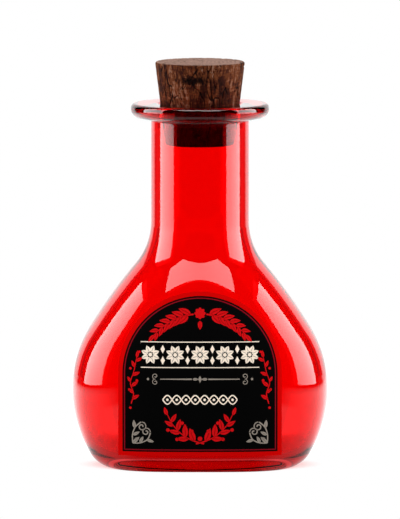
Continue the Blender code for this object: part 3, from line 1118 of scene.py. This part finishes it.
def dress(obj, material):
    """Give an object one material."""
    obj.data.materials.clear()
    obj.data.materials.append(material)


# Stage

# Floor brightness in the glass's reflections, from straight in front to straight behind
MIRROR_TOP = 2.5
MIRROR_STOPS = (
    (0.0, 0.0), (0.09, 0.0), (0.16, 0.1), (0.25, 0.2), (0.5, 0.48), (0.75, 0.8), (0.86, 0.88), (1.0, 0.44)
)

# The floor's matt share and the rest that it gives itself. They add up to white in full
# light, and where the red glass takes the light away a pale red is left.
FLOOR_LIT = (0.12, 0.66, 0.68)
FLOOR_OWN = (0.91, 0.34, 0.32)
FLOOR_RADIUS, FLOOR_SIDES = 2.5, 96
SHADOW_HALF_SIZES = (0.0385, 0.0215, 1.0)

# Outer edge of the bearing ring: half sizes and squareness
FOOT_HALF_WIDTH, FOOT_HALF_DEPTH = 0.0331, 0.0258
FOOT_SQUARE_SHARE = 3.5

# Side softboxes: distance from the flask's axis, turns of their edges from straight in
# front in degrees, heights of their lower and upper edges, and of the dimmer foot
SIDE_AWAY = 0.7
SIDE_EDGES = (64.0, 106.5)
SIDE_LOW, SIDE_HIGH = 0.014, 0.075 + SIDE_AWAY * math.tan(math.radians(43.2))
SIDE_FOOT = 0.15

# Raised softbox: height, half width, how far in front of the flask its rear edge and its
# front corners stand, the bow of its front edge, and the columns that shape the bow
WINDOW_UP, WINDOW_HALF_WIDTH = 1.075, 0.58
WINDOW_REAR, WINDOW_CORNER, WINDOW_BOW = 0.15, 0.94, 0.08
WINDOW_COLUMNS = 16

BACKDROP_AWAY, BACKDROP_HEIGHT = 1.4, 1.7
BACKDROP_HALF_ANGLE = 41.5  # in degrees, as seen from the flask
VIEW_END = 12.0


def studio_world(sizes):
    """White to the camera, an even fill for matt surfaces, dark in reflections."""
    world = bpy.data.worlds.new("studio")
    world.use_nodes = True
    bpy.context.scene.world = world
    tree = world.node_tree
    path = node(tree, "ShaderNodeLightPath").outputs
    matt = combine(tree, "MULTIPLY", path["Is Diffuse Ray"], sizes.fill)
    through = combine(tree, "MULTIPLY", path["Is Transmission Ray"], sizes.gap_light)
    seen = combine(tree, "MAXIMUM", path["Is Camera Ray"], matt)
    strength = combine(tree, "MAXIMUM", seen, through)
    feed(tree, tree.nodes["Background"], {"Color": (1, 1, 1, 1), "Strength": strength})


def glow(name, brightness, matt_share=1.0):
    """White emission, dimmer on matt surfaces. Its brightness is a number or is made from x and y."""
    material, tree, _ = new_material(name)
    if callable(brightness):
        brightness = brightness(tree, *axes_of(tree, object_place(tree))[:2])
    on_matt = node(tree, "ShaderNodeLightPath").outputs["Is Diffuse Ray"]
    level = value_ramp(tree, on_matt, 0.0, 1.0, 1.0, matt_share)
    light = node(tree, "ShaderNodeEmission", {"Strength": combine(tree, "MULTIPLY", level, brightness)})
    feed(tree, tree.nodes["Material Output"], {"Surface": light.outputs[0]})
    return material


def hang(panel, name, material):
    """Finish a panel of the stage, seen in reflections but not directly."""
    panel.name = name
    panel.visible_camera = False
    panel.visible_shadow = False
    dress(panel, material)
    return panel


def upright_panel(name, width, height, centre, material):
    """Upright panel that faces the flask's axis."""
    object_mode()
    bpy.ops.mesh.primitive_plane_add(size=1.0, location=centre)
    panel = bpy.context.object
    panel.scale = (width, height, 1.0)
    panel.rotation_euler = Vector((-centre[0], -centre[1], 0.0)).to_track_quat("Z", "Y").to_euler()
    pick(panel)
    bpy.ops.object.transform_apply(location=False, rotation=False, scale=True)
    return hang(panel, name, material)


def softbox(name, side, sizes):
    """Standing softbox beside the flask, brighter towards the back and dimmer at its foot."""
    start, end = (math.radians(edge) for edge in SIDE_EDGES)
    middle = (start + end) / 2
    width = 2 * SIDE_AWAY * math.tan((end - start) / 2)
    height = SIDE_HIGH - SIDE_LOW
    centre = (
        side * SIDE_AWAY * math.sin(middle), -SIDE_AWAY * math.cos(middle), (SIDE_LOW + SIDE_HIGH) / 2
    )

    def brightness(tree, x, y):
        half = side * width / 2
        sideways = value_ramp(tree, x, -half, half, sizes.side_bright, sizes.side_dim)
        upwards = value_ramp(tree, y, -height / 2, SIDE_FOOT - height / 2, 0.8, 1.0)
        return combine(tree, "MULTIPLY", sideways, upwards)

    upright_panel(name, width, height, centre, glow(name + "_glow", brightness, sizes.matt_share))


def bowed_window(sizes):
    """Softbox above the front, its front edge bowed towards the camera, dimmer in the middle."""
    object_mode()
    bpy.ops.mesh.primitive_grid_add(
        x_subdivisions=WINDOW_COLUMNS, y_subdivisions=1, size=1.0, location=(0.0, 0.0, WINDOW_UP)
    )
    window = bpy.context.object
    window.rotation_euler = (math.pi, 0.0, 0.0)
    for vertex in window.data.vertices:
        across = 2 * vertex.co.x
        front_edge = WINDOW_CORNER + WINDOW_BOW * (1 - across**2)
        forwards = front_edge if vertex.co.y > 0 else WINDOW_REAR
        vertex.co = (WINDOW_HALF_WIDTH * across, forwards, 0.0)

    def brightness(tree, x, _):
        off_middle = combine(tree, "ABSOLUTE", x)
        return value_ramp(tree, off_middle, 0.05, 0.55, 0.88 * sizes.window, 1.12 * sizes.window)

    hang(window, "top_softbox", glow("top_glow", brightness, sizes.window_share))


def studio(sizes):
    """Floor, backdrop, softboxes, world and camera."""
    studio_world(sizes)
    scene = bpy.context.scene
    scene.view_settings.view_transform = "Standard"

    width = 2 * BACKDROP_AWAY * math.tan(math.radians(BACKDROP_HALF_ANGLE))
    centre = (0, BACKDROP_AWAY, BACKDROP_HEIGHT / 2)
    glowing = glow("backdrop_glow", sizes.backdrop)
    backdrop = upright_panel("backdrop", width, BACKDROP_HEIGHT, centre, glowing)
    backdrop.visible_diffuse = False
    softbox("softbox_left", -1, sizes)
    softbox("softbox_right", 1, sizes)
    bowed_window(sizes)

    object_mode()
    bpy.ops.mesh.primitive_circle_add(vertices=FLOOR_SIDES, radius=FLOOR_RADIUS, fill_type="NGON")
    floor = bpy.context.object
    floor.name = "floor"
    dress(floor, floor_surface(sizes))

    data = bpy.data.cameras.new("camera")
    camera = bpy.data.objects.new("camera", data)
    scene.collection.objects.link(camera)
    data.lens = data.sensor_width * sizes.distance / sizes.view_height
    data.clip_end = VIEW_END
    aim = Vector((0, 0, sizes.aim))
    back_off = Vector((0, -math.cos(sizes.elevation), math.sin(sizes.elevation)))
    camera.location = aim + back_off * sizes.distance
    camera.rotation_euler = (-back_off).to_track_quat("-Z", "Y").to_euler()
    scene.camera = camera


def mirrored_level(tree, place, belly_shares, sizes):
    """Brightness of the floor where the glass mirrors it."""
    x, y = axes_of(tree, place)[:2]
    reach = combine_vectors(tree, "LENGTH", place)
    backwards = combine(tree, "DIVIDE", y, reach)

    near = curve_of(tree, value_ramp(tree, backwards, -1.0, 1.0), MIRROR_STOPS, MIRROR_TOP)
    near = combine(tree, "MULTIPLY", near, value_ramp(tree, belly_shares, 0.6, 1.1, 0.45, 1.0))

    # Ring that the underside of the lip mirrors, brightest from 85 to 170 mm off
    rising = value_ramp(tree, reach, 0.06, 0.085, 0.0, 0.6)
    falling = value_ramp(tree, reach, 0.17, 0.24, 1.0, 0.0)
    near = combine(tree, "MAXIMUM", near, combine(tree, "MULTIPLY", rising, falling))

    # White under the foot, which light that is mirrored inside the heel meets
    powers = []
    for value, half in ((x, FOOT_HALF_WIDTH), (y, FOOT_HALF_DEPTH)):
        foot_share = combine(tree, "DIVIDE", combine(tree, "ABSOLUTE", value), half)
        powers.append(combine(tree, "POWER", foot_share, FOOT_SQUARE_SHARE))
    under_foot = value_ramp(tree, combine(tree, "ADD", *powers), 0.85, 1.0, 1.0, 0.0)
    near = combine(tree, "MAXIMUM", near, under_foot)

    # Further off the floor is dark, but towards the backdrop it is as bright as that
    far = value_ramp(tree, backwards, 0.66, 0.74, 0.0, sizes.backdrop)
    return mix(tree, value_ramp(tree, reach, 0.35, 0.7), near, far, "FLOAT")


def floor_surface(sizes):
    """White floor that keeps shadows, with its own brightness in the glass."""
    material, tree, _ = new_material("white_floor")
    path = node(tree, "ShaderNodeLightPath").outputs
    place = object_place(tree)
    belly_shares = oval_reach(tree, place, (GLASS_HIGH.x, GLASS_HIGH.y, 1.0))

    # Through the glass it is darker under the flask, and dark far in front
    under = value_ramp(tree, belly_shares, 0.75, 1.7, 0.5, 1.15)
    in_front = value_ramp(tree, axes_of(tree, place)[1], -0.62, -0.5, 0.2, 1.0)
    through = combine(tree, "MULTIPLY", under, in_front)
    mirrored_in_glass = mirrored_level(tree, place, belly_shares, sizes)
    level = mix(tree, path["Is Transmission Ray"], mirrored_in_glass, through, "FLOAT")
    in_glass = node(tree, "ShaderNodeEmission", {"Strength": level}).outputs[0]

    matt = node(tree, "ShaderNodeBsdfDiffuse", {"Color": (*FLOOR_LIT, 1.0)}).outputs[0]
    own = node(tree, "ShaderNodeEmission", {"Color": (*FLOOR_OWN, 1.0)}).outputs[0]
    lit = node(tree, "ShaderNodeAddShader", {0: matt, 1: own}).outputs[0]
    white = node(tree, "ShaderNodeEmission", {"Strength": 1.0}).outputs[0]
    past_shadow = value_ramp(tree, oval_reach(tree, place, SHADOW_HALF_SIZES), 1.0, 1.24)
    ground = node(tree, "ShaderNodeMixShader", {"Fac": past_shadow, 1: lit, 2: white}).outputs[0]
    in_glass_share = combine(tree, "MAXIMUM", path["Is Glossy Ray"], path["Is Transmission Ray"])
    both = node(tree, "ShaderNodeMixShader", {"Fac": in_glass_share, 1: ground, 2: in_glass})
    feed(tree, tree.nodes["Material Output"], {"Surface": both.outputs[0]})
    return material


# Operators and panel


class FLASK_OT_stage(bpy.types.Operator):
    """Set up the floor, backdrop, lights and camera"""

    bl_idname = "flask.stage"
    bl_label = "Stage"

    def execute(self, context):
        studio(context.scene.flask_studio)
        return {"FINISHED"}


class FLASK_OT_glass(bpy.types.Operator):
    """Model the glass flask"""

    bl_idname = "flask.glass"
    bl_label = "Glass Flask"

    def execute(self, context):
        sizes = context.scene.flask_glass
        flask = glass_flask(sizes)
        dress(flask, red_glass(sizes))
        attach(flask, "bottle")
        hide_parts("glass_bottle")
        return {"FINISHED"}


class FLASK_OT_cork(bpy.types.Operator):
    """Model the cracked cork"""

    bl_idname = "flask.cork"
    bl_label = "Cork"

    def execute(self, context):
        sizes = context.scene.flask_cork
        cork = wooden_cork(sizes)
        dress(cork, wood_finish(sizes))
        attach(cork, "stopper")
        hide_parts("cork_stopper")
        return {"FINISHED"}


class FLASK_OT_label(bpy.types.Operator):
    """Model the arched label and print its ornament"""

    bl_idname = "flask.label"
    bl_label = "Label"

    def execute(self, context):
        sizes = context.scene.flask_label
        sheet = label_sheet(sizes)
        dress(sheet, printed_paper(sizes))
        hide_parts("front_label")
        front = sizes.gap + sizes.thickness + sizes.ink
        pieces = [sheet]
        for name, shapes, rgb in (
            ("red_ornament", red_shapes(), sizes.red),
            ("cream_ornament", cream_shapes(), sizes.cream),
            ("beige_ornament", beige_shapes(), sizes.beige),
        ):
            piece = inked_piece(name, shapes, front, sizes)
            dress(piece, printed_ink(name + "_ink", rgb))
            pieces.append(piece)
        for piece in pieces:
            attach(piece, "bottle")
        return {"FINISHED"}


class FLASK_PT_panel(bpy.types.Panel):
    """Buttons for the flask's pieces and its stage"""

    bl_idname = "FLASK_PT_panel"
    bl_label = "Flask"
    bl_space_type = "VIEW_3D"
    bl_region_type = "UI"
    bl_category = "Flask"

    def draw(self, context):
        for maker in MAKERS:
            self.layout.operator(maker.bl_idname)


GROUPS = {
    "flask_glass": FlaskSizes,
    "flask_cork": CorkSizes,
    "flask_label": LabelSizes,
    "flask_studio": StudioSizes,
}
MAKERS = (FLASK_OT_stage, FLASK_OT_glass, FLASK_OT_cork, FLASK_OT_label)


def register():
    """Register the sizes, the operators and the panel."""
    for name, group in GROUPS.items():
        bpy.utils.register_class(group)
        setattr(bpy.types.Scene, name, bpy.props.PointerProperty(type=group))
    for maker in (*MAKERS, FLASK_PT_panel):
        bpy.utils.register_class(maker)


def unregister():
    """Take the panel, the operators and the sizes away again."""
    for maker in reversed((*MAKERS, FLASK_PT_panel)):
        bpy.utils.unregister_class(maker)
    for name, group in GROUPS.items():
        delattr(bpy.types.Scene, name)
        bpy.utils.unregister_class(group)


def main():
    register()
    bpy.ops.flask.stage()
    bpy.ops.flask.glass()
    bpy.ops.flask.cork()
    bpy.ops.flask.label()


if __name__ == "__main__":
    main()
